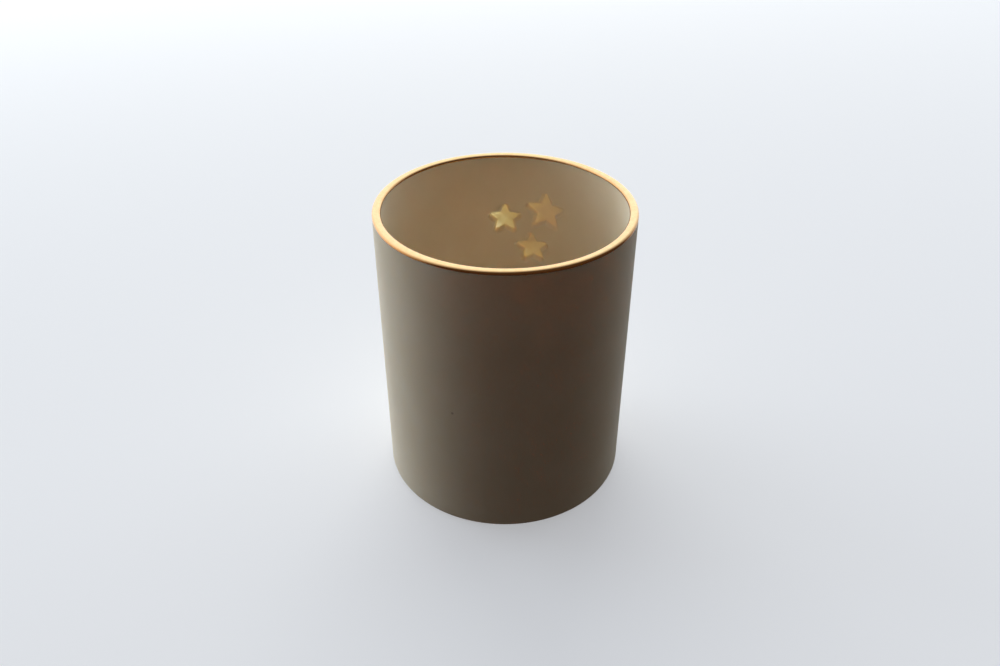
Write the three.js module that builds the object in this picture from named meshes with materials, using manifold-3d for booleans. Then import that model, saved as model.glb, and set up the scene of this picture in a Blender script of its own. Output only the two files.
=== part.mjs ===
// Tealight holder: a straight-sided porcelain beaker with a fired-on gold rim and three stars
// sunk into its inner wall, and the tealight that stands in it.
// Millimetres, +Z up. The origin is the middle of the foot, on the surface it stands on, and +Y
// points at the wall that carries the stars.
import * as THREE from "three";
import { mergeVertices } from "three/addons/utils/BufferGeometryUtils.js";
import Module from "manifold-3d";

// Porcelain beaker
const rimDiameter = 70;
const holderHeight = 84;
const wallThickness = 2.4;
const lipEdgeRadius = 0.7;
const floorThickness = 4.5;
const baseCornerRadius = 2;
const innerCornerRadius = 5;
const footRingWidth = 6;
const footRecessHeight = 1;

// Gold band: how far it runs on down the wall below the lip's rounded edges, and the film's
// stand-in thickness
const bandBelowLipOutside = 0.5;
const bandBelowLipInside = 0.2;
const filmThickness = 0.2;
const filmGap = 0.1;

// Stars sunk into the inner wall. Each has its point radius, how deep it is sunk, how far its
// centre lies along the wall to the right of the first star, how far below the rim, and how far
// it leans left.
const starWaistShare = 0.5;
const starTipRadius = 0.6;
const stars = [
  { pointRadius: 4.9, depth: 1.4, along: 0, belowRim: 21.2, leanDegrees: 0 },
  { pointRadius: 6.1, depth: 1, along: 12.4, belowRim: 17.8, leanDegrees: 1 },
  { pointRadius: 5.1, depth: 1.1, along: 8.4, belowRim: 30.6, leanDegrees: 5 },
];

// Tealight: a pressed aluminium cup, wax, wick and the tin disc that holds the wick. The draft is
// how much nearer the axis the wall is at its base than at its top.
const cupDiameter = 38;
const cupDraft = 0.5;
const cupHeight = 15.5;
const cupWall = 0.25;
const cupBeadRadius = 0.45;
const cupCornerRadius = 1.2;
const cupPanelDiameter = 26;
const cupPanelRise = 0.6;
const waxBelowCupTop = 3.1;
const waxEdgeClimb = 0.5;
const waxEdgeWidth = 2;
const discDiameter = 12.5;
const discThickness = 0.3;
const neckWall = 0.7;
const neckHeight = 4;
const wickDiameter = 1.7;
const wickAboveWax = 8;
const wickTipReach = 1.6;

// Clearances, and how far a cutting tool runs past what it cuts
const seatGap = 0.05;
const fitGap = 0.15;
const cutterOverrun = 1;

// Facets
const roundSegments = 64;
const smallSegments = 24;
const wickSides = 10;
const wickSteps = 10;
const arcSteps = 3;

const rimRadius = rimDiameter / 2;
const innerRadius = rimRadius - wallThickness;
const lipHeight = holderHeight - lipEdgeRadius;
const lipOuterMiddle = rimRadius - lipEdgeRadius;
const lipInnerMiddle = innerRadius + lipEdgeRadius;
const bandEndOutside = lipHeight - bandBelowLipOutside;
const bandEndInside = lipHeight - bandBelowLipInside;

const waxHeight = cupHeight - waxBelowCupTop;
const discBottom = cupPanelRise + cupWall + seatGap;
const neckTop = discBottom + neckHeight;
const boreRadius = wickDiameter / 2 + fitGap;
const neckRadius = boreRadius + neckWall;

const wasm = await Module();
wasm.setup();

// Turns a closed three.js geometry into a solid that can be cut.
function solidFrom(geometry) {
  const bare = geometry.index ? geometry.toNonIndexed() : geometry.clone();
  bare.deleteAttribute("normal");
  bare.deleteAttribute("uv");
  const merged = mergeVertices(bare, 1e-3);
  return new wasm.Manifold(
    new wasm.Mesh({
      numProp: 3,
      vertProperties: merged.attributes.position.array,
      triVerts: new Uint32Array(merged.index.array),
    }),
  );
}

// Turns a solid back into a three.js geometry.
function geometryFrom(solid) {
  const mesh = solid.getMesh();
  const positions = new Float32Array(mesh.numVert * 3);
  for (let i = 0; i < mesh.numVert; i++) {
    const first = i * mesh.numProp;
    positions.set(mesh.vertProperties.subarray(first, first + 3), i * 3);
  }
  return new THREE.BufferGeometry()
    .setAttribute("position", new THREE.BufferAttribute(positions, 3))
    .setIndex(new THREE.BufferAttribute(mesh.triVerts, 1));
}

// Turns a profile, drawn as radius and height, about the upright axis.
function turned(profile, segments) {
  return new THREE.LatheGeometry(profile.getPoints(arcSteps), segments).rotateX(Math.PI / 2);
}

// The beaker: foot ring, corner, wall, a flat lip rebated for the gold, inner wall and floor.
function holderProfile() {
  const rebate = filmThickness + filmGap;
  const footRingInner = rimRadius - baseCornerRadius - footRingWidth;
  const profile = new THREE.Path();
  profile.moveTo(0, footRecessHeight);
  profile.lineTo(footRingInner - footRecessHeight, footRecessHeight);
  profile.lineTo(footRingInner, 0);
  profile.lineTo(rimRadius - baseCornerRadius, 0);
  profile.absarc(rimRadius - baseCornerRadius, baseCornerRadius, baseCornerRadius, -Math.PI / 2, 0);
  profile.lineTo(rimRadius, bandEndOutside);
  profile.lineTo(rimRadius - rebate, bandEndOutside);
  profile.absarc(lipOuterMiddle, lipHeight, lipEdgeRadius - rebate, 0, Math.PI / 2);
  profile.absarc(lipInnerMiddle, lipHeight, lipEdgeRadius - rebate, Math.PI / 2, Math.PI);
  profile.lineTo(innerRadius + rebate, bandEndInside);
  profile.lineTo(innerRadius, bandEndInside);
  profile.lineTo(innerRadius, floorThickness + innerCornerRadius);
  profile.absarc(
    innerRadius - innerCornerRadius,
    floorThickness + innerCornerRadius,
    innerCornerRadius,
    0,
    -Math.PI / 2,
    true,
  );
  profile.lineTo(0, floorThickness);
  return profile;
}

// A five-pointed star with rounded points, standing on two of them.
function starShape(pointRadius, leanDegrees) {
  const corners = [];
  for (let i = 0; i < 10; i++) {
    const angle = Math.PI / 2 + (i * Math.PI) / 5 + THREE.MathUtils.degToRad(leanDegrees);
    const reach = i % 2 ? pointRadius * starWaistShare : pointRadius;
    corners.push(new THREE.Vector2(Math.cos(angle) * reach, Math.sin(angle) * reach));
  }
  const shape = new THREE.Shape();
  shape.moveTo(corners[9].x, corners[9].y);
  for (let i = 0; i < 10; i += 2) {
    const tip = corners[i];
    const before = corners[(i + 9) % 10].clone().sub(tip).normalize();
    const after = corners[i + 1].clone().sub(tip).normalize();
    const halfAngle = before.angleTo(after) / 2;
    const cutBack = starTipRadius / Math.tan(halfAngle);
    const start = before.multiplyScalar(cutBack).add(tip);
    const end = after.multiplyScalar(cutBack).add(tip);
    shape.lineTo(start.x, start.y);
    shape.quadraticCurveTo(tip.x, tip.y, end.x, end.y);
    shape.lineTo(corners[i + 1].x, corners[i + 1].y);
  }
  return shape;
}

// The tool that sinks one star: a star prism pointing at the axis, kept inside the round
// surface that the recess's floor follows. The prism runs a little past both surfaces.
function starCutter({ pointRadius, depth, along, belowRim, leanDegrees }) {
  const floorRadius = innerRadius + depth;
  const hollow = innerRadius - Math.sqrt(innerRadius ** 2 - pointRadius ** 2);
  const prism = new THREE.ExtrudeGeometry(starShape(pointRadius, leanDegrees), {
    depth: depth + hollow + 2 * cutterOverrun,
    bevelEnabled: false,
    curveSegments: arcSteps,
  });
  const bearing = along / innerRadius;
  const outward = new THREE.Vector3(Math.sin(bearing), Math.cos(bearing), 0);
  const up = new THREE.Vector3(0, 0, 1);
  const right = new THREE.Vector3().crossVectors(outward, up);
  const start = outward.clone().multiplyScalar(floorRadius + cutterOverrun);
  start.z = holderHeight - belowRim;
  prism.applyMatrix4(new THREE.Matrix4().makeBasis(right, up, outward.negate()).setPosition(start));

  const floor = new THREE.CylinderGeometry(floorRadius, floorRadius, holderHeight, roundSegments);
  floor.rotateX(Math.PI / 2);
  floor.translate(0, 0, holderHeight / 2);
  return solidFrom(prism).intersect(solidFrom(floor));
}

function holderGeometry() {
  let body = solidFrom(turned(holderProfile(), roundSegments));
  for (const star of stars) body = body.subtract(starCutter(star));
  return geometryFrom(body);
}

// The gold band: a thin shell that wraps the lip and ends level with the wall on both sides.
function goldBandGeometry() {
  const outerEnd = bandEndOutside + filmGap;
  const innerEnd = bandEndInside + filmGap;
  const underRadius = lipEdgeRadius - filmThickness;
  const profile = new THREE.Path();
  profile.moveTo(rimRadius - filmThickness, outerEnd);
  profile.lineTo(rimRadius, outerEnd);
  profile.absarc(lipOuterMiddle, lipHeight, lipEdgeRadius, 0, Math.PI / 2);
  profile.absarc(lipInnerMiddle, lipHeight, lipEdgeRadius, Math.PI / 2, Math.PI);
  profile.lineTo(innerRadius, innerEnd);
  profile.lineTo(innerRadius + filmThickness, innerEnd);
  profile.absarc(lipInnerMiddle, lipHeight, underRadius, Math.PI, Math.PI / 2, true);
  profile.absarc(lipOuterMiddle, lipHeight, underRadius, Math.PI / 2, 0, true);
  profile.lineTo(rimRadius - filmThickness, outerEnd);
  return turned(profile, roundSegments);
}

// Radius of the cup's outer wall at a height above its base.
function cupRadiusAt(height) {
  return cupDiameter / 2 - cupDraft * (1 - height / cupHeight);
}

// The aluminium cup: a raised panel in its base, a rounded corner, a drafted wall and a bead.
function cupGeometry() {
  const beadHeight = cupHeight - cupBeadRadius;
  const beadMiddle = cupRadiusAt(cupHeight) - cupWall + cupBeadRadius;
  const panelRadius = cupPanelDiameter / 2;
  const cornerMiddle = cupRadiusAt(cupCornerRadius) - cupCornerRadius;
  const profile = new THREE.Path();
  profile.moveTo(0, cupPanelRise);
  profile.lineTo(panelRadius - cupPanelRise, cupPanelRise);
  profile.lineTo(panelRadius, 0);
  profile.lineTo(cornerMiddle, 0);
  profile.absarc(cornerMiddle, cupCornerRadius, cupCornerRadius, -Math.PI / 2, 0);
  profile.lineTo(cupRadiusAt(beadHeight - cupBeadRadius), beadHeight - cupBeadRadius);
  profile.absarc(beadMiddle, beadHeight, cupBeadRadius, -Math.PI / 2, Math.PI);
  profile.lineTo(cupRadiusAt(cupCornerRadius) - cupWall, cupCornerRadius);
  profile.absarc(
    cornerMiddle,
    cupCornerRadius,
    cupCornerRadius - cupWall,
    0,
    -Math.PI / 2,
    true,
  );
  profile.lineTo(panelRadius, cupWall);
  profile.lineTo(panelRadius - cupPanelRise, cupPanelRise + cupWall);
  profile.lineTo(0, cupPanelRise + cupWall);
  return turned(profile, roundSegments);
}

// The wax: it fills the cup from the panel's level up, stands clear of the wick and its holder,
// follows the cup's corner and climbs at its edge.
function waxGeometry() {
  const wallRadiusAt = (height) => cupRadiusAt(height) - cupWall - fitGap;
  const cornerRadius = cupCornerRadius - cupWall - fitGap;
  const cornerMiddle = cupRadiusAt(cupCornerRadius) - cupCornerRadius;
  const cornerStart = Math.asin((discBottom - cupCornerRadius) / cornerRadius);
  const discTop = discBottom + discThickness;
  const profile = new THREE.Path();
  profile.moveTo(discDiameter / 2 + fitGap, discTop + fitGap);
  profile.lineTo(discDiameter / 2 + fitGap, discBottom);
  profile.absarc(cornerMiddle, cupCornerRadius, cornerRadius, cornerStart, 0);
  profile.lineTo(wallRadiusAt(waxHeight + waxEdgeClimb), waxHeight + waxEdgeClimb);
  profile.lineTo(wallRadiusAt(waxHeight) - waxEdgeWidth, waxHeight);
  profile.lineTo(boreRadius, waxHeight);
  profile.lineTo(boreRadius, neckTop + fitGap);
  profile.lineTo(neckRadius + fitGap, neckTop + fitGap);
  profile.lineTo(neckRadius + fitGap, discTop + fitGap);
  profile.lineTo(discDiameter / 2 + fitGap, discTop + fitGap);
  return turned(profile, roundSegments);
}

// The tin disc and the neck that grips the wick.
function wickHolderGeometry() {
  const profile = new THREE.Path();
  profile.moveTo(boreRadius, discBottom);
  profile.lineTo(discDiameter / 2, discBottom);
  profile.lineTo(discDiameter / 2, discBottom + discThickness);
  profile.lineTo(neckRadius, discBottom + discThickness);
  profile.lineTo(neckRadius, neckTop);
  profile.lineTo(boreRadius, neckTop);
  profile.lineTo(boreRadius, discBottom);
  return turned(profile, smallSegments);
}

// The wick: straight through the wax, then leaning over a little.
function wickGeometry() {
  const wickTop = waxHeight + wickAboveWax;
  const route = new THREE.CurvePath();
  route.add(new THREE.LineCurve3(
    new THREE.Vector3(0, 0, discBottom),
    new THREE.Vector3(0, 0, waxHeight),
  ));
  route.add(new THREE.QuadraticBezierCurve3(
    new THREE.Vector3(0, 0, waxHeight),
    new THREE.Vector3(0, 0, waxHeight + wickAboveWax / 2),
    new THREE.Vector3(wickTipReach, 0, wickTop),
  ));
  const section = new THREE.Shape();
  section.absarc(0, 0, wickDiameter / 2, 0, 2 * Math.PI);
  return new THREE.ExtrudeGeometry(section, {
    steps: wickSteps,
    extrudePath: route,
    curveSegments: wickSides,
  });
}

function finish(color, roughness, metalness) {
  return new THREE.MeshStandardMaterial({ color, roughness, metalness });
}

function named(name, geometry, material) {
  const mesh = new THREE.Mesh(geometry, material);
  mesh.name = name;
  return mesh;
}

const holder = new THREE.Group();
holder.add(
  named("holder_body", holderGeometry(), finish(0xe9e4da, 0.6, 0)),
  named("gold_rim", goldBandGeometry(), finish(0xd9a441, 0.2, 1)),
);

const tealight = new THREE.Group();
tealight.position.z = floorThickness + seatGap;
tealight.add(
  named("tealight_cup", cupGeometry(), finish(0xc9cacc, 0.35, 1)),
  named("tealight_wax", waxGeometry(), finish(0xf4f1e8, 0.5, 0)),
  named("wick_holder", wickHolderGeometry(), finish(0xb4b2ac, 0.4, 1)),
  named("wick", wickGeometry(), finish(0xf0ead8, 0.9, 0)),
);

const part = new THREE.Group();
part.add(holder, tealight);

export default part;
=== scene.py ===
# %% [markdown]
# # A porcelain tealight holder
#
# This lesson dresses a working model of a tealight holder: a straight-sided porcelain beaker with
# a gold rim and three stars sunk into its inner wall, and the tealight that stands in it. The
# working model, called the frame here, already holds the sizes and the one motion, which is the
# tealight lifting out. Every surface below is worked out afresh, finer than the frame's, and rides
# on the frame's bodies. Everything is in metres with +Z up, and the origin is the middle of the
# foot.

# %% Load the frame
import math

import bpy
import numpy as np
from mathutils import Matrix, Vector


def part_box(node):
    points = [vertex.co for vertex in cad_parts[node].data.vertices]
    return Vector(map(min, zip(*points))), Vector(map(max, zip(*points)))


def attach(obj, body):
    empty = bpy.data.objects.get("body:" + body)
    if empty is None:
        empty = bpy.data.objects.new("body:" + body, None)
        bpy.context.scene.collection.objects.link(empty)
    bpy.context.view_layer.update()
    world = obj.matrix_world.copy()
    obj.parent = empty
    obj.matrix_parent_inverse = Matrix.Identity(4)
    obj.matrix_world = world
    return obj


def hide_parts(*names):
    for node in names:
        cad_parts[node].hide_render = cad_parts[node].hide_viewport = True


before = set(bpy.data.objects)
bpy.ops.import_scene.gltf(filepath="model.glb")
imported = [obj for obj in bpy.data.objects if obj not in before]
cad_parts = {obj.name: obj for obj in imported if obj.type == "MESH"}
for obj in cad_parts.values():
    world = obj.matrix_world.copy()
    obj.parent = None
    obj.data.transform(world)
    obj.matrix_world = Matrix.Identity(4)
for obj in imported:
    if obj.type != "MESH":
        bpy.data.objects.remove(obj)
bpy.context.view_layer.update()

MM = 0.001
TAU = 2 * math.pi

# %% [markdown]
# ## Sizes
#
# The outer sizes come from the frame's own boxes, so the pieces fit it without any moving or
# scaling. What a box can't tell, such as the thickness of the wall, is named here once. The
# beaker is cast in porcelain slip, so its wall is even, and the gold is a film that is painted on
# and fired. A real film is a few thousandths of a millimetre thick. It is drawn at a few
# hundredths, so that its edge still catches the light.

# %% Sizes of the beaker
holder_low, holder_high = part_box("holder_body")
rim_low, rim_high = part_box("gold_rim")
film = 0.03 * MM
rim_radius = rim_high.x - film
rim_height = rim_high.z - film
wall = 2.4 * MM - 2 * film
inner_radius = rim_radius - wall
floor_thickness = 4.5 * MM
lip_rise = 0.8 * MM
lip_height = rim_height - lip_rise
lip_middle = rim_radius - wall / 2
for node, low, high in (("holder_body", holder_low, holder_high), ("gold_rim", rim_low, rim_high)):
    print(f"{node}: {(high.x - low.x) / MM:.2f} mm across and {(high.z - low.z) / MM:.2f} mm high")
print("porcelain rim radius", round(rim_radius / MM, 3), "mm, height", round(rim_height / MM, 3), "mm")

# %% [markdown]
# ## From numbers to a mesh
#
# Every new piece is a grid of points: one direction follows a profile and the other goes round
# the piece. A grid is quick to work out, because numpy moves all its points at once, and it is
# easy to close. It either wraps in a direction, or ends in a pole, where one point takes the
# place of a whole row. The signed volume of the closed mesh tells whether its faces point out.


# %% Soft steps and spacing
def smooth_step(x):
    """0 below 0 and 1 above 1, with 3x^2 - 2x^3 in between."""
    x = np.clip(x, 0, 1)
    return x * x * (3 - 2 * x)


def graded(start, end, count, dense_from, dense_to, ratio, fade):
    """count stops from start to end, ratio times closer together from dense_from to dense_to:
    the running total of a density that rises and falls smoothly, read backwards at even steps."""
    fine = np.linspace(start, end, 6001)
    rise = smooth_step((fine - dense_from) / fade + 1)
    fall = smooth_step((fine - dense_to) / fade)
    density = 1 + (ratio - 1) * (rise - fall)
    total = np.concatenate([[0], np.cumsum((density[1:] + density[:-1]) / 2)])
    return np.interp(np.linspace(0, total[-1], count), total, fine)


# %% Meshes from grids
def signed_volume(points, triangles):
    """A sixth of the sum of a . (b x c) over the triangles. It is positive if they face out."""
    a, b, c = (points[triangles[:, i]] for i in range(3))
    return float(np.einsum("ij,ij->", a, np.cross(b, c))) / 6


def grid_mesh(name, points, close_rows=False, first_pole=False, last_pole=False):
    """A smooth-shaded object from points[row, column]. Columns wrap round. Rows wrap as well if
    close_rows is set, and a first or last row that is a pole shrinks to its middle point."""
    rows, columns = points.shape[:2]
    flat = points.reshape(-1, 3)
    index = np.arange(rows * columns).reshape(rows, columns)
    if first_pole:
        flat[index[0]] = flat[index[0]].mean(axis=0)
        index[0] = index[0, 0]
    if last_pole:
        flat[index[-1]] = flat[index[-1]].mean(axis=0)
        index[-1] = index[-1, 0]
    below = index if close_rows else index[:-1]
    above = np.roll(index, -1, axis=0) if close_rows else index[1:]
    next_below, next_above = np.roll(below, -1, axis=1), np.roll(above, -1, axis=1)
    halves = [
        np.stack([below, next_below, next_above], axis=-1).reshape(-1, 3),
        np.stack([below, next_above, above], axis=-1).reshape(-1, 3),
    ]
    triangles = np.concatenate(halves)
    a, b, c = triangles.T
    triangles = triangles[(a != b) & (b != c) & (c != a)]
    if signed_volume(flat, triangles) < 0:
        triangles = triangles[:, ::-1]
    used, triangles = np.unique(triangles, return_inverse=True)
    return triangle_mesh(name, flat[used], triangles.reshape(-1, 3))


def triangle_mesh(name, points, triangles):
    """An object made of these points and triangles, in place and smooth-shaded."""
    mesh = bpy.data.meshes.new(name)
    mesh.vertices.add(len(points))
    mesh.vertices.foreach_set("co", points.astype(np.float32).ravel())
    mesh.loops.add(triangles.size)
    mesh.loops.foreach_set("vertex_index", triangles.astype(np.int32).ravel())
    mesh.polygons.add(len(triangles))
    mesh.polygons.foreach_set("loop_start", np.arange(0, triangles.size, 3, dtype=np.int32))
    mesh.update(calc_edges=True)
    mesh.validate()
    mesh.shade_smooth()
    piece = bpy.data.objects.new(name, mesh)
    bpy.context.scene.collection.objects.link(piece)
    volume = signed_volume(points, triangles) / MM**3
    print(f"{name}: {len(triangles)} triangles, {volume:.1f} cubic mm")
    return piece


# %% Profiles
def line(start, end, count):
    """count points on a straight profile stretch, its end left out."""
    share = np.linspace(0, 1, count, endpoint=False)[:, None]
    return np.array(start) * (1 - share) + np.array(end) * share


def arc(middle, radius, start_degrees, end_degrees, count):
    """count points on a round profile stretch, its end left out. Two radii make it an ellipse."""
    angle = np.radians(np.linspace(start_degrees, end_degrees, count, endpoint=False))
    return np.array(middle) + radius * np.stack([np.cos(angle), np.sin(angle)], axis=-1)


def turned(profile, bearings):
    """Each profile point (r, z) goes to (r sin b, r cos b, z) at every bearing b from +Y."""
    r, z = profile[:, 0][:, None], profile[:, 1][:, None]
    b = bearings[None, :]
    return np.stack([r * np.sin(b), r * np.cos(b), z + 0 * b], axis=-1)

# %% [markdown]
# ## The stars
#
# The stars are pressed into the inner wall, so that light shines through the thinner porcelain.
# They could be cut with a Boolean, but a cut leaves hard edges and long thin triangles. Here a
# star is a distance: how far a point of the wall is from the nearest star edge. The recess's depth
# follows that distance through a soft step, which gives the rounded edges that slip-cast
# porcelain has. Moving inwards from a smaller, sharp star by a round distance also gives the fat
# arms with round ends. Each star is pressed a little differently, as hand-made moulds are.

# %% Sizes of the stars
star_edge = 1.3 * MM
star_rounding = 0.8 * MM
star_waist_share = 0.46
dimple_share, dimple_width = 0.07, 0.8 * MM
# Each star's reach, place along the wall and below the rim, and depth in mm, and its lean in
# degrees. The tilt is how much deeper it gets to the right and upwards, as a share.
stars = [
    {"reach": 4.9, "along": 0.0, "below_rim": 21.2, "lean": 0, "depth": 1.64, "tilt": (-0.16, -0.08)},
    {"reach": 6.1, "along": 12.4, "below_rim": 17.8, "lean": 1, "depth": 1.2, "tilt": (-0.2, 0.06)},
    {"reach": 5.1, "along": 8.4, "below_rim": 30.6, "lean": 5, "depth": 1.38, "tilt": (-0.08, -0.16)},
]
print(len(stars), "stars,", [2 * star["reach"] for star in stars], "mm across their points")


# %% Distance to a star
def star_distance(x, y, reach, lean, rounding):
    """How far (x, y) is outside a five-pointed star, negative inside. The plane is folded onto
    half a point by its symmetry, where one straight edge runs from the tip to the waist. The
    distance to that edge, less the rounding, rounds the tips and widens the arms."""
    tip = reach - rounding
    angle = np.arctan2(x, y) + math.radians(lean)
    sector = TAU / 5
    folded = np.abs((angle + sector / 2) % sector - sector / 2)
    size = np.hypot(x, y)
    px, py = size * np.cos(folded), size * np.sin(folded)
    waist = tip * star_waist_share
    ex, ey = waist * math.cos(sector / 2) - tip, waist * math.sin(sector / 2)
    share = np.clip(((px - tip) * ex + py * ey) / (ex * ex + ey * ey), 0, 1)
    gap = np.hypot(px - tip - share * ex, py - share * ey)
    inside = (px - tip) * ey - py * ex < 0
    return np.where(inside, -gap, gap) - rounding


# %% Depth of the recesses
def recess_depth(bearings, heights):
    """How deep the inner wall is sunk at each height and bearing: for each star its depth, a
    little more towards one side by its tilt and dimpled by a product of sines, times a soft step
    of the distance to its edge."""
    depth = np.zeros((len(heights), len(bearings)))
    for star in stars:
        reach = star["reach"] * MM
        x = inner_radius * bearings[None, :] - star["along"] * MM
        y = heights[:, None] - (rim_height - star["below_rim"] * MM)
        distance = star_distance(x, y, reach, star["lean"], star_rounding)
        tilt = 1 + star["tilt"][0] * x / reach + star["tilt"][1] * y / reach
        dimples = dimple_share * np.sin(x / dimple_width + 1) * np.sin(y / dimple_width + 2)
        sunk = smooth_step(0.5 - distance / star_edge)
        depth = np.maximum(depth, star["depth"] * MM * (tilt + dimples) * sunk)
    return depth

# %% [markdown]
# ## The porcelain beaker
#
# The real beaker is slip-cast: liquid porcelain is left in a plaster mould until an even skin has
# set, then poured out. So its wall has one thickness, the inner corner is rounder than the outer
# one, and the lip is wiped into a low dome with a sponge, drawn here as half an ellipse. It is one
# profile turned about the upright axis, from the middle of the foot, up the outside, over the lip
# and down to the middle of the floor. The rows and columns crowd together where the stars are, to
# hold their soft edges.

# %% Sizes of the beaker's foot and of its rows
base_corner = 2 * MM
inner_corner = 5 * MM
foot_ring_width = 6 * MM
foot_ring_inner = rim_radius - base_corner - foot_ring_width
foot_rise = 1 * MM
star_rows = 152
star_margin = 0.8 * MM

star_tops = [rim_height - (s["below_rim"] - s["reach"]) * MM for s in stars]
star_feet = [rim_height - (s["below_rim"] + s["reach"]) * MM for s in stars]
star_top, star_foot = max(star_tops) + star_margin, min(star_feet) - star_margin
star_left = (min(s["along"] - s["reach"] for s in stars) * MM - star_margin) / inner_radius
star_right = (max(s["along"] + s["reach"] for s in stars) * MM + star_margin) / inner_radius

print("rows crowd from", round(star_foot / MM, 1), "to", round(star_top / MM, 1), "mm above the table")

# %% Beaker profile
outside = np.concatenate(
    [
        line((0, foot_rise), (foot_ring_inner - foot_rise, foot_rise), 8),
        arc((foot_ring_inner - foot_rise, foot_rise / 2), foot_rise / 2, 90, 0, 5),
        arc((foot_ring_inner + foot_rise / 2, foot_rise / 2), foot_rise / 2, 180, 270, 5),
        line((foot_ring_inner + foot_rise / 2, 0), (rim_radius - base_corner, 0), 5),
        arc((rim_radius - base_corner, base_corner), base_corner, -90, 0, 10),
        line((rim_radius, base_corner), (rim_radius, lip_height), 34),
        arc((lip_middle, lip_height), np.array([wall / 2, lip_rise]), 0, 180, 28),
    ]
)
inside = np.concatenate(
    [
        line((inner_radius, lip_height), (inner_radius, star_top), 8),
        line((inner_radius, star_top), (inner_radius, star_foot), star_rows),
        line((inner_radius, star_foot), (inner_radius, floor_thickness + inner_corner), 20),
        arc((inner_radius - inner_corner, floor_thickness + inner_corner), inner_corner, 0, -90, 10),
        line((inner_radius - inner_corner, floor_thickness), (0, floor_thickness), 12),
        np.array([[0, floor_thickness]]),
    ]
)
profile = np.concatenate([outside, inside])
print("beaker profile has", len(profile), "points")

# %% Beaker mesh
columns, star_crowding, crowding_fade = 320, 7.5, 0.12
bearings = graded(-math.pi, math.pi, columns + 1, star_left, star_right, star_crowding, crowding_fade)[:-1]
points = turned(profile, bearings)
sunk = recess_depth(bearings, profile[:, 1])
sunk[: len(outside)] = 0
sunk[profile[:, 1] < star_foot] = 0
points[..., 0] += sunk * np.sin(bearings)
points[..., 1] += sunk * np.cos(bearings)
beaker = grid_mesh("porcelain_beaker", points, first_pole=True, last_pole=True)
near_stars = bearings[(bearings > star_left) & (bearings < star_right)]
print(f"columns near the stars are {np.diff(near_stars).mean() * inner_radius / MM:.3f} mm apart")
print(f"thinnest porcelain behind a star is {(wall - sunk.max()) / MM:.2f} mm")

# %% [markdown]
# ## The gold rim
#
# Liquid bright gold is brushed round the lip on a turntable and fired. Its edges waver a little,
# because a hand held the brush. Here the film's section is carried round instead: it runs over
# the lip's half ellipse between two wavering ends, and thins out to nothing at both.

# %% Sizes and section of the gold film
band_below_lip_outside = 0.22 * MM
band_below_lip_inside = 0.05 * MM
band_sink = 0.02 * MM
edge_sink = 0.2 * band_sink
waver_size = 0.07
thinning_share = 0.05


def waver(bearings, waves, size):
    """A sum of cosines of the bearing, as (count, phase) pairs: the less the wave repeats, the
    more it weighs."""
    parts = [np.cos(count * bearings + phase) / math.sqrt(count) for count, phase in waves]
    return size * np.sum(parts, axis=0)


def on_lip(s, lift):
    """The point s radians round the lip's half ellipse, from outside to inside, lifted off the
    porcelain. Below 0 it is on the outer wall and past pi on the inner wall, and each radian
    there is one lip's rise further down."""
    angle = np.clip(s, 0, math.pi)
    down = np.maximum(-s, 0) + np.maximum(s - math.pi, 0)
    r = lip_middle + (wall / 2 + lift) * np.cos(angle)
    return r, lip_height + (lip_rise + lift) * np.sin(angle) - lip_rise * down

# %% Gold film mesh
rim_bearings = np.linspace(-math.pi, math.pi, 360, endpoint=False)
outer_waver = waver(rim_bearings, [(2, 0.4), (5, 2.1), (9, 4.0), (17, 1.0)], waver_size)
inner_waver = waver(rim_bearings, [(3, 1.3), (7, 0.2), (13, 3.1)], waver_size)
outer_end = outer_waver - band_below_lip_outside / lip_rise
inner_end = inner_waver + math.pi + band_below_lip_inside / lip_rise
share = np.linspace(0, 1, 44)[:, None]
s = outer_end * (1 - share) + inner_end * share
thinning = np.sqrt(np.clip(np.minimum(share, 1 - share) / thinning_share, 0, 1))
top_r, top_z = on_lip(s, film * thinning - edge_sink * (1 - thinning))
low_r, low_z = on_lip(s, -band_sink + 0 * s)
section_r = np.concatenate([top_r, low_r[::-1]])
section_z = np.concatenate([top_z, low_z[::-1]])
across, along = section_r * np.sin(rim_bearings), section_r * np.cos(rim_bearings)
gold_band = grid_mesh("gold_band", np.stack([across, along, section_z], axis=-1), close_rows=True)

# %% [markdown]
# ## The aluminium cup
#
# A tealight's cup is drawn from thin aluminium sheet. The drawing leaves fine creases round the
# bottom corner, a rolled bead at the top, and rings pressed into the base to stiffen it. The wall
# is drawn at a quarter of a millimetre, thicker than the real foil, as in the frame.

# %% Cup sizes
cup_low, cup_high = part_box("tealight_cup")
cup_wall = 0.25 * MM
bead = 0.45 * MM
cup_base = cup_low.z
cup_height = cup_high.z - cup_base
cup_top_radius = cup_high.x - 2 * bead + cup_wall
cup_draft = 0.5 * MM
cup_corner = 1.2 * MM
panel_radius = 13 * MM
panel_rise = 0.6 * MM
ring_radii = (5 * MM, 9 * MM)
ring_height, ring_width = 0.18 * MM, 0.5 * MM
crease_count = 72
crease_depth = 0.05 * MM
crease_height = 6 * MM


def cup_radius(z):
    """The wall's outer radius at z above the cup's base: it leans in by the draft."""
    return cup_top_radius - cup_draft * (1 - z / cup_height)


def base_height(r):
    """The base's underside at radius r: raised in the middle by a soft step, plus two rings,
    each a bell curve of the distance to its radius."""
    raised = panel_rise * smooth_step((panel_radius - r) / (2 * panel_rise) + 0.5)
    rings = sum(np.exp(-(((r - ring) / ring_width) ** 2)) for ring in ring_radii)
    return raised + ring_height * rings

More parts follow.
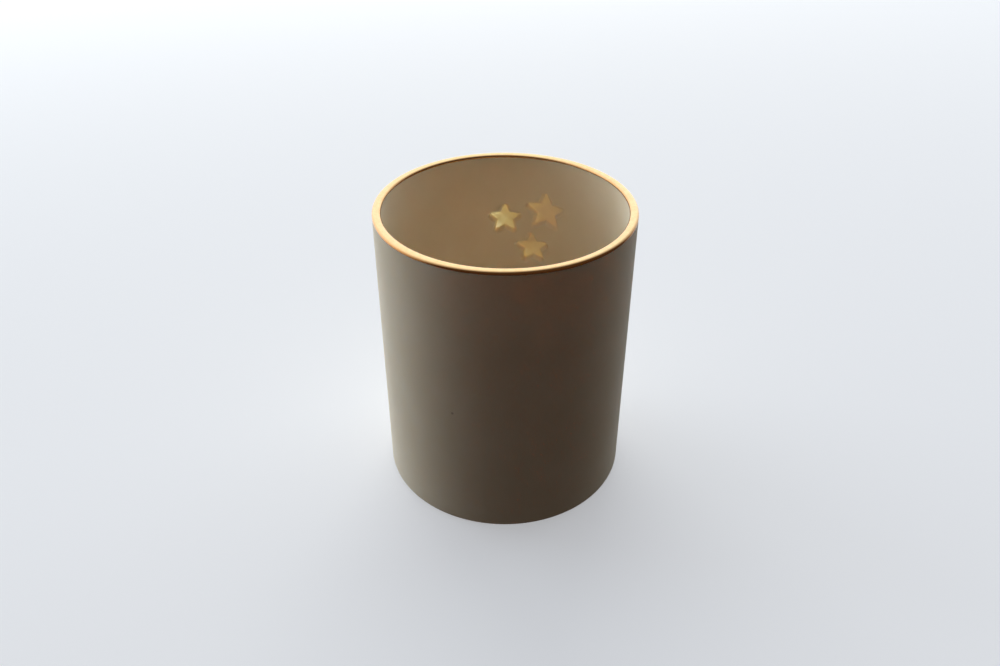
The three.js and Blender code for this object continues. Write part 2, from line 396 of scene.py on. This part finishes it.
# %% Cup profile
corner_middle = cup_radius(cup_corner) - cup_corner
bead_height = cup_height - bead
bead_middle = cup_top_radius - cup_wall + bead
bend_radius = cup_radius(cup_corner)
base_r = np.linspace(0, corner_middle, 44, endpoint=False)
cup_profile = np.concatenate(
    [
        np.stack([base_r, base_height(base_r)], axis=-1),
        arc((corner_middle, cup_corner), cup_corner, -90, 0, 10),
        line((bend_radius, cup_corner), (cup_radius(bead_height - bead), bead_height - bead), 22),
        arc((bead_middle, bead_height), bead, -90, 180, 20),
        line((cup_radius(bead_height) - cup_wall, bead_height), (bend_radius - cup_wall, cup_corner), 22),
        arc((corner_middle, cup_corner), cup_corner - cup_wall, 0, -90, 10),
        np.stack([base_r[::-1], base_height(base_r[::-1]) + cup_wall], axis=-1),
    ]
)
print(f"cup is {2 * cup_high.x / MM:.2f} mm across its bead and {cup_height / MM:.2f} mm high")

# %% Cup mesh
cup_bearings = np.linspace(-math.pi, math.pi, 432, endpoint=False)
points = turned(cup_profile, cup_bearings)
height = cup_profile[:, 1][:, None]
near_corner = smooth_step((cup_profile[:, 0][:, None] - corner_middle) / cup_corner + 0.8)
fade = near_corner * (1 - smooth_step((height - cup_corner) / crease_height))
uneven = 0.6 + 0.4 * np.sin(cup_bearings * 7 + 1) * np.sin(cup_bearings * 5)
crease = crease_depth * fade * uneven * (np.cos(cup_bearings * crease_count) - 1) / 2
points[..., 0] += crease * np.sin(cup_bearings)
points[..., 1] += crease * np.cos(cup_bearings)
points[..., 2] += cup_base
cup = grid_mesh("aluminium_cup", points, first_pole=True, last_pole=True)

# %% [markdown]
# ## The wax
#
# The wax is poured in hot. As it sets it shrinks, so its surface sinks a little in the middle and
# stays high where it wets the cup and the wick. Both rises are drawn as falling exponentials of
# the distance to what the wax clings to, which is the shape of a meniscus.

# %% Wax sizes
wax_low, wax_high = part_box("tealight_wax")
wax_edge_climb = 0.5 * MM
wax_level = wax_high.z - wax_edge_climb
wax_foot = wax_low.z
wax_bore = 0.7 * MM
wick_climb = 0.55 * MM
edge_reach, wick_reach_out = 0.8 * MM, 0.7 * MM
wax_sag = 0.25 * MM
ripple_height = 0.03 * MM
foot_corner = 0.8 * MM
wax_gap = 0.03 * MM


def wax_radius(z):
    """The wax's outer radius at height z: the cup's inside, less a hair's breadth."""
    return cup_radius(z - cup_base) - cup_wall - wax_gap

# %% Wax profile
wax_rim = wax_radius(wax_high.z)
top_r = wax_rim - (wax_rim - wax_bore) * (1 - np.cos(np.linspace(0, math.pi, 60))) / 2
at_edge = wax_edge_climb * np.exp((top_r - wax_rim) / edge_reach)
at_wick = wick_climb * np.exp((wax_bore - top_r) / wick_reach_out)
dip = wax_sag * (1 - (top_r / wax_rim) ** 2)
top = np.stack([top_r, wax_level + at_edge + at_wick - dip], axis=-1)
below_top = np.concatenate(
    [
        line((wax_bore, wax_foot), (wax_radius(wax_foot) - foot_corner, wax_foot), 16),
        arc((wax_radius(wax_foot) - foot_corner, wax_foot + foot_corner), foot_corner, -90, 0, 6),
        line((wax_radius(wax_foot + foot_corner), wax_foot + foot_corner), (wax_rim, top[0, 1]), 10),
    ]
)
bore = line((wax_bore, top[-1, 1]), (wax_bore, wax_foot), 12)[1:]
wax_profile = np.concatenate([below_top, top, bore])
print("wax surface is lowest at", round(float(top[:, 1].min()) / MM, 2), "mm above the table")

# %% Wax mesh
wax_bearings = np.linspace(-math.pi, math.pi, 240, endpoint=False)
points = turned(wax_profile, wax_bearings)
on_top = np.zeros(len(wax_profile))
on_top[len(below_top) : len(below_top) + len(top)] = np.sin(np.linspace(0, math.pi, len(top)))
ripple = np.sin(points[..., 0] / (2.3 * MM) + 1) * np.sin(points[..., 1] / (2.9 * MM) + 2)
points[..., 2] += ripple_height * on_top[:, None] * ripple
wax = grid_mesh("paraffin_wax", points, close_rows=True)

# %% [markdown]
# ## The wick
#
# The wick is a plait of three cotton strands. A plait is two swings at once: each strand goes from
# side to side once while it goes to and fro twice, and the three are a third of a turn apart.
# Tubes that follow those swings give a real plait, which a rope texture can't. Where it was cut
# off, the strands splay and fray a little.


# %% Tubes along a path
def tubes(name, paths, radii, sides):
    """One closed mesh of tubes: paths[k] is a line of points and radii[k] its radius at each. A
    ring of each tube lies across the path's direction, and its ends close in poles."""
    all_points, all_triangles, count = [], [], 0
    angle = np.linspace(0, TAU, sides, endpoint=False)
    for path, radius in zip(paths, radii):
        along = np.gradient(path, axis=0)
        along /= np.linalg.norm(along, axis=1)[:, None]
        side = np.cross(along, [0.0, 1.0, 0.0])
        side /= np.linalg.norm(side, axis=1)[:, None]
        other = np.cross(along, side)
        ring = np.cos(angle)[None, :, None] * side[:, None] + np.sin(angle)[None, :, None] * other[:, None]
        body = (path[:, None] + radius[:, None, None] * ring).reshape(-1, 3)
        rows = len(path)
        index = np.arange(rows * sides).reshape(rows, sides)
        right = np.roll(index, -1, axis=1)
        first, last = rows * sides, rows * sides + 1
        faces = np.concatenate(
            [
                np.stack([index[:-1], right[:-1], right[1:]], axis=-1).reshape(-1, 3),
                np.stack([index[:-1], right[1:], index[1:]], axis=-1).reshape(-1, 3),
                np.stack([np.full(sides, first), right[0], index[0]], axis=-1),
                np.stack([np.full(sides, last), index[-1], right[-1]], axis=-1),
            ]
        )
        tube_points = np.concatenate([body, path[:1], path[-1:]])
        if signed_volume(tube_points, faces) < 0:
            faces = faces[:, ::-1]
        all_points.append(tube_points)
        all_triangles.append(faces + count)
        count += len(tube_points)
    return triangle_mesh(name, np.concatenate(all_points), np.concatenate(all_triangles))

# %% Wick sizes
wick_low, wick_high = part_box("wick")
wick_radius = (wick_high.y - wick_low.y) / 2
strand_radius = 0.4 * MM
side_swing = wick_radius - strand_radius
depth_swing = 0.24 * MM
plait_length = 4.2 * MM
strand_offset = 0.15 * MM
splay_from, splay_share = 0.93, 0.25
fray_from, fray_share = 0.96, 0.55
bulge_share = 0.03
wick_reach = wick_high.x - wick_radius
print(f"wick is {2 * wick_radius / MM:.2f} mm thick, and its tip leans over by {wick_reach / MM:.2f} mm")

# %% Wick mesh
t = np.linspace(0, 1, 150)
z = wick_low.z + (wick_high.z - strand_radius - wick_low.z) * t
lean = np.clip((z - wax_level) / (wick_high.z - wax_level), 0, 1) ** 2 * wick_reach
paths, radii = [], []
for strand in range(3):
    phase = TAU * (z / plait_length + strand / 3)
    splay = 1 + splay_share * smooth_step((t - splay_from) / (1 - splay_from))
    x = lean + side_swing * np.sin(phase) * splay
    y = depth_swing * np.sin(2 * phase) * splay
    paths.append(np.stack([x, y, z + strand_offset * strand * t], axis=-1))
    fray = 1 - fray_share * smooth_step((t - fray_from) / (1 - fray_from))
    radii.append(strand_radius * fray * (1 + bulge_share * np.sin(5 * phase)))
wick = tubes("cotton_wick", paths, radii, 14)

# %% [markdown]
# ## The wick's holder
#
# A disc stamped from tinplate stands on the bottom of the cup and keeps the wick upright. Its neck
# is crimped in at four places to grip the wick. The disc is hidden in the wax, but a part has to
# be whole. A torus and a tube could be joined for it, but one profile turned round gives the
# rounded bend between them, and the crimps are a cosine of the bearing, strongest halfway up.

# %% Wick holder sizes
disc_low, disc_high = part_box("wick_holder")
disc_radius = disc_high.x
disc_thickness = 0.3 * MM
neck_bore = 0.9 * MM
neck_radius = 1.7 * MM
neck_bend = 0.4 * MM
crimp_depth = 0.18 * MM
crimp_count = 4
neck_foot = disc_low.z + disc_thickness
edge = disc_thickness / 2

# %% Wick holder mesh
disc_profile = np.concatenate(
    [
        line((neck_bore, disc_low.z), (disc_radius - edge, disc_low.z), 14),
        arc((disc_radius - edge, disc_low.z + edge), edge, -90, 90, 8),
        line((disc_radius - edge, neck_foot), (neck_radius + neck_bend, neck_foot), 12),
        arc((neck_radius + neck_bend, neck_foot + neck_bend), neck_bend, 270, 180, 5),
        line((neck_radius, neck_foot + neck_bend), (neck_radius, disc_high.z - edge), 16),
        arc((neck_radius - edge, disc_high.z - edge), edge, 0, 180, 6),
        line((neck_radius - 2 * edge, disc_high.z - edge), (neck_bore, neck_foot + edge), 12),
        line((neck_bore, neck_foot + edge), (neck_bore, disc_low.z), 3),
    ]
)
disc_bearings = np.linspace(-math.pi, math.pi, 128, endpoint=False)
points = turned(disc_profile, disc_bearings)
up_neck = (disc_profile[:, 1] - neck_foot) / (disc_high.z - neck_foot)
halfway_up = np.sin(math.pi * np.clip(up_neck, 0, 1))[:, None]
crimped = crimp_depth * halfway_up * (1 - np.cos(crimp_count * disc_bearings)) / 2
points[..., 0] -= crimped * np.sin(disc_bearings)
points[..., 1] -= crimped * np.cos(disc_bearings)
wick_disc = grid_mesh("tin_wick_holder", points, close_rows=True)

# %% [markdown]
# ## Colours and nodes
#
# Each material is a small tree of nodes, so that its pattern is worked out at any distance.
# Colours are written as the hex values that a screen shows, and one function turns them into the
# linear light that the renderer adds up. One more function adds a node, with its settings and its
# links, and serves every kind of node, so that a tree reads from top to bottom.


# %% Material helpers
def linear(hex_colour):
    """A screen colour such as "#E9E4DA" as linear red, green, blue and alpha: each channel is
    c / 12.92 up to 0.04045 and ((c + 0.055) / 1.055) ** 2.4 above it."""
    screen = [int(hex_colour[i : i + 2], 16) / 255 for i in (1, 3, 5)]
    return [c / 12.92 if c <= 0.04045 else ((c + 0.055) / 1.055) ** 2.4 for c in screen] + [1.0]


def add(tree, kind, output=0, settings=None, inputs=None):
    """Adds a node of this kind and gives back one of its outputs, by name or number. Settings
    are the node's own properties. Inputs are by socket name or number, and each is a value or
    another node's output."""
    node = tree.nodes.new(kind)
    for key, value in (settings or {}).items():
        setattr(node, key, value)
    for key, value in (inputs or {}).items():
        if isinstance(value, bpy.types.NodeSocket):
            tree.links.new(value, node.inputs[key])
        else:
            node.inputs[key].default_value = value
    return node.outputs[output] if node.outputs else None


def make_material(name, surface_inputs):
    """A material with a Principled surface. surface_inputs gets the tree and the Object
    coordinates, adds the nodes of the pattern and gives back the surface's inputs by name."""
    material = bpy.data.materials.new(name)
    material.use_nodes = True
    tree = material.node_tree
    tree.nodes.clear()
    place = add(tree, "ShaderNodeTexCoord", "Object")
    surface = add(tree, "ShaderNodeBsdfPrincipled", "BSDF", inputs=surface_inputs(tree, place))
    add(tree, "ShaderNodeOutputMaterial", inputs={"Surface": surface})
    return material


# A Mix node keeps sockets for numbers, vectors and colours under the same names, so its colours
# and their result go by number.
COLOURS = {"data_type": "RGBA"}
FIRST, SECOND, MIXED = 6, 7, 2

# %% [markdown]
# ## Bisque porcelain
#
# Slip-cast porcelain, fired and left without glaze on the outside. It is warm white and matt, and
# light wanders some way into it: held up to a window the wall glows, and the sunk stars glow
# more, because there is less porcelain for the light to cross. A glow given off by the surface
# would be right for one light and wrong for all others, so this is a scattering material. Blue
# light is stopped soonest, which makes the glow golden. Porcelain bends light by about 1.5, which
# is the surface's own default. The clay has a fine grain, faint clouds where the slip settled, and
# a few flecks of iron.

# %% Porcelain material
cloud_size = 14 * MM
# The real grain is a few hundredths of a millimetre. It is drawn as coarse as it needs to show.
grain_size = 0.35 * MM
ripple_size = 5 * MM
fleck_spacing = 9 * MM
glow_reach = 1.2 * MM
iron_spot = (-0.39 * rim_radius, -0.92 * rim_radius, rim_height - 44.5 * MM)


def bisque_porcelain(tree, place):
    """The clay's colour drifts with wide noise. Small flecks are the hearts of a Voronoi
    pattern's cells, each as big as its cell's random colour is bright, and one larger fleck is
    the distance from a point. Two bumps give the fine grain and the soft waves of a sponged wall."""
    clouds = add(tree, "ShaderNodeTexNoise", inputs={"Vector": place, "Scale": 1 / cloud_size, "Detail": 3})
    share = add(tree, "ShaderNodeMapRange", inputs={"Value": clouds, "From Min": 0.35, "From Max": 0.65})
    clay = {0: share, FIRST: linear("#F1E3C9"), SECOND: linear("#EEDFC3")}
    clay = add(tree, "ShaderNodeMix", MIXED, COLOURS, clay)
    to_heart = add(
        tree, "ShaderNodeTexVoronoi", "Distance", inputs={"Vector": place, "Scale": 1 / fleck_spacing}
    )
    cell_colour = to_heart.node.outputs["Color"]
    fleck_size = add(tree, "ShaderNodeMapRange", inputs={"Value": cell_colour, "To Max": 0.022})
    inside = add(tree, "ShaderNodeMath", 0, {"operation": "SUBTRACT"}, {0: fleck_size, 1: to_heart})
    small = add(tree, "ShaderNodeMapRange", inputs={"Value": inside, "From Max": 0.008, "To Max": 0.35})
    ends = {0: place, 1: iron_spot}
    to_spot = add(tree, "ShaderNodeVectorMath", "Value", {"operation": "DISTANCE"}, ends)
    fading = {"Value": to_spot, "From Min": 0.2 * MM, "From Max": 0.5 * MM, "To Min": 0.45, "To Max": 0}
    large = add(tree, "ShaderNodeMapRange", inputs=fading)
    fleck = add(tree, "ShaderNodeMath", 0, {"operation": "MAXIMUM"}, {0: small, 1: large})
    colour = add(tree, "ShaderNodeMix", MIXED, COLOURS, {0: fleck, FIRST: clay, SECOND: linear("#8A7359")})
    fine = {"Vector": place, "Scale": 1 / grain_size, "Detail": 4, "Roughness": 0.6}
    grain = add(tree, "ShaderNodeTexNoise", inputs=fine)
    wide = {"Vector": place, "Scale": 1 / ripple_size, "Detail": 1}
    ripple = add(tree, "ShaderNodeTexNoise", inputs=wide)
    grained = add(
        tree, "ShaderNodeBump", inputs={"Strength": 0.25, "Distance": 0.02 * MM, "Height": grain}
    )
    waved = {"Strength": 0.5, "Distance": 0.03 * MM, "Height": ripple, "Normal": grained}
    matt = {"Value": grain, "From Min": 0.3, "From Max": 0.7, "To Min": 0.52, "To Max": 0.66}
    return {
        "Base Color": colour,
        "Roughness": add(tree, "ShaderNodeMapRange", inputs=matt),
        "Subsurface Weight": 1,
        "Subsurface Radius": (0.97, 0.93, 0.85),
        "Subsurface Scale": glow_reach,
        "Specular IOR Level": 0.4,
        "Normal": add(tree, "ShaderNodeBump", inputs=waved),
    }


beaker.data.materials.append(make_material("bisque_porcelain", bisque_porcelain))
print("light wanders about", round(glow_reach / MM, 2), "mm into a wall of", round(wall / MM, 2), "mm")

# %% [markdown]
# ## Gold lustre
#
# Bright gold goes on as a resin that burns away and leaves a film of gold, mirror bright where
# the surface under it is smooth. The brush leaves faint streaks round the rim. Towards its edges
# the film is thinner. Lower down the lip the gold is painted browner, a painted reflection of the
# dark, warm room that the lip's sides face. It is metal, so its colour is all in its reflection.

# %% Gold material
streak_size = 1.6 * MM
brush_size = 0.25 * MM
# Below the first height the lip is painted fully brown, and above the second it is plain gold: a painted
# reflection of the dark, warm room.
painted_brown_full_below = lip_height - 0.15 * MM
painted_brown_gone_above = lip_height + 0.72 * MM


def gold_lustre(tree, place):
    """Noise streaks move the gold's colour and roughness a little. Its painted brown, a painted
    reflection of the dark room in the lip's sides, fades out evenly upwards, from the edge of the film
    to near the top of the lip."""
    brushing = {"Vector": place, "Scale": 1 / streak_size, "Detail": 3}
    streaks = add(tree, "ShaderNodeTexNoise", inputs=brushing)
    share = add(tree, "ShaderNodeMapRange", inputs={"Value": streaks, "From Min": 0.3, "From Max": 0.7})
    gold = {0: share, FIRST: linear("#FBDAA5"), SECOND: linear("#F7D198")}
    gold = add(tree, "ShaderNodeMix", MIXED, COLOURS, gold)
    height = add(tree, "ShaderNodeSeparateXYZ", "Z", inputs={"Vector": place})
    rising = {"Value": height, "From Min": painted_brown_full_below, "From Max": painted_brown_gone_above}
    painted_brown_fade = add(tree, "ShaderNodeMapRange", inputs=rising)
    brushed = add(tree, "ShaderNodeTexNoise", inputs={"Vector": place, "Scale": 1 / brush_size})
    bright = {"Value": streaks, "From Min": 0.3, "From Max": 0.7, "To Min": 0.14, "To Max": 0.18}
    bump = {"Strength": 0.05, "Distance": 0.01 * MM, "Height": brushed}
    return {
        # Painted reflection: dark brown gold low on the lip stands for the dark room that its sides face.
        "Base Color": add(
            tree, "ShaderNodeMix", MIXED, COLOURS, {0: painted_brown_fade, FIRST: linear("#C07526"), SECOND: gold}
        ),
        "Metallic": 1,
        "Roughness": add(tree, "ShaderNodeMapRange", inputs=bright),
        "Normal": add(tree, "ShaderNodeBump", inputs=bump),
    }


gold_band.data.materials.append(make_material("gold_lustre", gold_lustre))

# %% [markdown]
# ## Drawn aluminium
#
# The cup is pulled through a die, which leaves it bright with fine lines up the wall. The lines
# could be cut into the mesh, but they are far too fine for that. Noise that is stretched upwards
# gives them without a seam, because it is worked out in space and isn't wrapped round.

# %% Aluminium material
# The die's real lines are a few hundredths of a millimetre wide, and are drawn coarser to show.
die_line_width, die_line_stretch = 0.4 * MM, 0.08


def drawn_aluminium(tree, place):
    """Noise stretched along the wall makes the die's lines, in colour, roughness and bump."""
    along = add(
        tree, "ShaderNodeMapping", inputs={"Vector": place, "Scale": (1, 1, die_line_stretch)}
    )
    lines = {"Vector": along, "Scale": 1 / die_line_width, "Detail": 3}
    lines = add(tree, "ShaderNodeTexNoise", inputs=lines)
    share = add(tree, "ShaderNodeMapRange", inputs={"Value": lines, "From Min": 0.3, "From Max": 0.7})
    colour = {0: share, FIRST: linear("#D6D8DB"), SECOND: linear("#C6C8CC")}
    bright = {"Value": lines, "From Min": 0.3, "From Max": 0.7, "To Min": 0.24, "To Max": 0.38}
    bump = {"Strength": 0.35, "Distance": 0.015 * MM, "Height": lines}
    return {
        "Base Color": add(tree, "ShaderNodeMix", MIXED, COLOURS, colour),
        "Metallic": 1,
        "Roughness": add(tree, "ShaderNodeMapRange", inputs=bright),
        "Normal": add(tree, "ShaderNodeBump", inputs=bump),
    }

# %% [markdown]
# ## Paraffin wax
#
# Set paraffin is satin and whiter than this porcelain, and lets light wander deeper in, so that
# its edges look soft. White paint with a highlight would look like plaster. So it scatters as the
# porcelain does, with a longer reach. A faint frost, where the wax cooled unevenly, moves its
# colour and roughness.

# %% Wax material
frost_size, wax_pore, wax_glow_reach = 3 * MM, 0.6 * MM, 2.2 * MM


def paraffin(tree, place):
    """Wide noise is the frost on set wax, and fine noise its pores."""
    frost = add(tree, "ShaderNodeTexNoise", inputs={"Vector": place, "Scale": 1 / frost_size, "Detail": 4})
    pores = add(tree, "ShaderNodeTexNoise", inputs={"Vector": place, "Scale": 1 / wax_pore, "Detail": 3})
    share = add(tree, "ShaderNodeMapRange", inputs={"Value": frost, "From Min": 0.35, "From Max": 0.65})
    colour = {0: share, FIRST: linear("#F6F3EA"), SECOND: linear("#EFEBDF")}
    satin = {"Value": frost, "From Min": 0.3, "From Max": 0.7, "To Min": 0.38, "To Max": 0.52}
    bump = {"Strength": 0.3, "Distance": 0.04 * MM, "Height": pores}
    return {
        "Base Color": add(tree, "ShaderNodeMix", MIXED, COLOURS, colour),
        "Roughness": add(tree, "ShaderNodeMapRange", inputs=satin),
        "Subsurface Weight": 1,
        "Subsurface Radius": (1.0, 0.9, 0.75),
        "Subsurface Scale": wax_glow_reach,
        "Normal": add(tree, "ShaderNodeBump", inputs=bump),
    }

# %% [markdown]
# ## Waxed cotton
#
# The wick is cotton soaked in wax, so it is less fuzzy than dry thread, and its sheen is faint.
# Every thread could be a tube of its own, but at this size slanting bands in the colour and the
# bump are enough to break up a strand. The colour is darker in the bump's grooves, a painted
# shade between the threads.

# %% Wick material
# The real threads lie a few tenths of a millimetre apart, and are drawn coarser to show.
thread_pitch = 1.5 * MM


def waxed_cotton(tree, place):
    """Slanting bands, bent by noise, are the threads of each strand. They are painted darker in
    the bump's grooves, as shade between the threads.
    """
    bands = {"Vector": place, "Scale": 1 / thread_pitch, "Distortion": 3, "Detail": 2}
    threads = add(tree, "ShaderNodeTexWave", 1, {"bands_direction": "DIAGONAL"}, bands)
    # Painted shade: the darker colour lies in the bump's grooves between the threads.
    colour = {0: threads, FIRST: linear("#DDD5C2"), SECOND: linear("#F2ECDD")}
    bump = {"Strength": 0.6, "Distance": 0.05 * MM, "Height": threads}
    return {
        "Base Color": add(tree, "ShaderNodeMix", MIXED, COLOURS, colour),
        "Roughness": 0.75,
        "Sheen Weight": 0.25,
        "Normal": add(tree, "ShaderNodeBump", inputs=bump),
    }

# %% [markdown]
# ## Tinplate
#
# Tinplate is steel sheet with a skin of tin, which sets in flat crystals. They catch the light
# one by one, as on a galvanised bucket, but are smaller. One even grey would look like aluminium
# again, so Voronoi cells stand for the crystals.

# %% Wick holder material
tin_crystal = 1.2 * MM


def tinplate_sheet(tree, place):
    """Each Voronoi cell is a crystal of tin, with its own shade and roughness."""
    cells = {"Vector": place, "Scale": 1 / tin_crystal}
    crystals = add(tree, "ShaderNodeTexVoronoi", "Color", inputs=cells)
    colour = {0: crystals, FIRST: linear("#B9B7B1"), SECOND: linear("#A5A39D")}
    satin = {"Value": crystals, "To Min": 0.3, "To Max": 0.45}
    return {
        "Base Color": add(tree, "ShaderNodeMix", MIXED, COLOURS, colour),
        "Metallic": 1,
        "Roughness": add(tree, "ShaderNodeMapRange", inputs=satin),
    }

# %% Finishes of the tealight's pieces
for piece, finish in (
    (cup, drawn_aluminium),
    (wax, paraffin),
    (wick, waxed_cotton),
    (wick_disc, tinplate_sheet),
):
    piece.data.materials.append(make_material(finish.__name__, finish))
print("materials:", sorted(material.name for material in bpy.data.materials))

# %% [markdown]
# ## Riding the frame
#
# Each piece rides on the body it belongs to, so it follows the joint, and stands for the plain
# piece of the frame that it replaces.

# %% Bodies, nodes and slots
for piece, body, node, slot in (
    (beaker, "holder", "holder_body", "porcelain"),
    (gold_band, "holder", "gold_rim", "gold_lustre"),
    (cup, "tealight", "tealight_cup", "aluminium_foil"),
    (wax, "tealight", "tealight_wax", "paraffin_wax"),
    (wick_disc, "tealight", "wick_holder", "tinplate"),
    (wick, "tealight", "wick", "cotton_wick"),
):
    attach(piece, body)
    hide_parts(node)
    print(f"{piece.name} rides on {body} and stands for {node}")

# %% [markdown]
# ## The floor
#
# The holder stands on a plain pale floor. A lit floor would throw light back onto the beaker and
# flatten its shaded front. So the floor is hidden from the rays that carry such light, and gives
# off a little light of its own, as a floor in a bright room seems to.

# %% Floor
floor_half = 3.0
floor_mesh = bpy.data.meshes.new("floor")
corners = [(x * floor_half, y * floor_half, 0) for x, y in ((-1, -1), (1, -1), (1, 1), (-1, 1))]
floor_mesh.from_pydata(corners, [], [(0, 1, 2, 3)])
floor = bpy.data.objects.new("floor", floor_mesh)
bpy.context.scene.collection.objects.link(floor)


def pale_floor(tree, place):
    """A plain matt paint, so it needs no pattern."""
    return {
        "Base Color": linear("#B7B8BA"),
        "Roughness": 0.9,
        "Specular IOR Level": 0.1,
        "Emission Color": linear("#F6F8FC"),
        "Emission Strength": 0.43,
    }


floor_mesh.materials.append(make_material("pale_floor", pale_floor))
floor.visible_diffuse = False
floor.visible_glossy = False
print("floor is", 2 * floor_half, "m across")

# %% [markdown]
# ## The light
#
# A bright window stands behind the holder and a dim, warm room in front, because thin porcelain
# shows what it is only with light behind it. The window is a gradient all round plus three soft
# lamps. Gold is a mirror, so it would show a lamp as a hard white patch: the lamps are hidden from
# mirror rays, which see a wider and softer window instead.

# %% World
world = bpy.data.worlds.new("soft_room")
bpy.context.scene.world = world
world.use_nodes = True
tree = world.node_tree
tree.nodes.clear()
direction = add(tree, "ShaderNodeTexCoord", "Generated")
window_axis = Vector((-0.42, 0.86, 0.28)).normalized()
both = {0: direction, 1: window_axis}
towards_window = add(tree, "ShaderNodeVectorMath", "Value", {"operation": "DOT_PRODUCT"}, both)
# What lights the piece, then what its gold mirrors: where the window starts and is full, and the
# linear colours of the room and the window.
surroundings = []
for start, full, room, window in (
    (0.08, 0.8, (0.055, 0.047, 0.044, 1), (1.22, 1.28, 1.38, 1)),
    (-0.12, 0.62, (0.085, 0.055, 0.035, 1), (1.24, 1.26, 1.3, 1)),
):
    edge = {"Value": towards_window, "From Min": start, "From Max": full}
    share = add(tree, "ShaderNodeMapRange", inputs=edge)
    surroundings.append(add(tree, "ShaderNodeMix", MIXED, COLOURS, {0: share, FIRST: room, SECOND: window}))
mirror_ray = add(tree, "ShaderNodeLightPath", "Is Glossy Ray")
seen = {0: mirror_ray, FIRST: surroundings[0], SECOND: surroundings[1]}
glow = add(tree, "ShaderNodeMix", MIXED, COLOURS, seen)
background = add(tree, "ShaderNodeBackground", inputs={"Color": glow})
add(tree, "ShaderNodeOutputWorld", inputs={"Surface": background})
print("the window is brightest", round(math.degrees(math.asin(window_axis.z))), "degrees up")

# %% Lamps
lamp_distance, lamp_height = 1.0, 0.9
lamp_target = Vector((0, 0, 0.05))
warm_white, cool_white = (0.96, 0.98, 0.93), (0.88, 1.0, 1.08)
for name, degrees, height, width, power, colour in (
    ("window_middle", -8, 0.35, 1.1, 8.4, warm_white),
    ("window_left", -65, 0.1, 0.6, 5.1, cool_white),
    ("window_right", 57, 0.3, 0.5, 1.9, cool_white),
):
    lamp_data = bpy.data.lights.new(name, "AREA")
    lamp_data.shape = "RECTANGLE"
    lamp_data.size, lamp_data.size_y = width, lamp_height
    lamp_data.energy = power
    lamp_data.color = colour
    lamp = bpy.data.objects.new(name, lamp_data)
    side = math.radians(degrees)
    lamp.location = (lamp_distance * math.sin(side), lamp_distance * math.cos(side), height)
    lamp.rotation_euler = (lamp_target - lamp.location).to_track_quat("-Z", "Y").to_euler()
    lamp.visible_glossy = False
    bpy.context.scene.collection.objects.link(lamp)
    print(f"{name}: {power} W, {degrees} degrees round from straight behind")

# %% [markdown]
# ## The camera
#
# It looks down over the near rim, so that the stars on the far wall show. A wide lens close by
# makes the beaker narrow towards its foot, as it does in the hand.

# %% Camera
camera_data = bpy.data.cameras.new("camera")
camera = bpy.data.objects.new("camera", camera_data)
bpy.context.scene.collection.objects.link(camera)
camera_data.sensor_width = 36
camera_data.lens = 32
camera_place = Vector((0, -212, 188.3)) * MM
camera_target = Vector((-1.37, 0, 42.93)) * MM
camera.location = camera_place
camera.rotation_euler = (camera_target - camera_place).to_track_quat("-Z", "Y").to_euler()
camera_data.clip_start = 0.01
camera_data.clip_end = 50
bpy.context.scene.camera = camera
bpy.context.scene.view_settings.view_transform = "Standard"
print("camera is", round((camera_target - camera_place).length / MM), "mm from what it looks at")
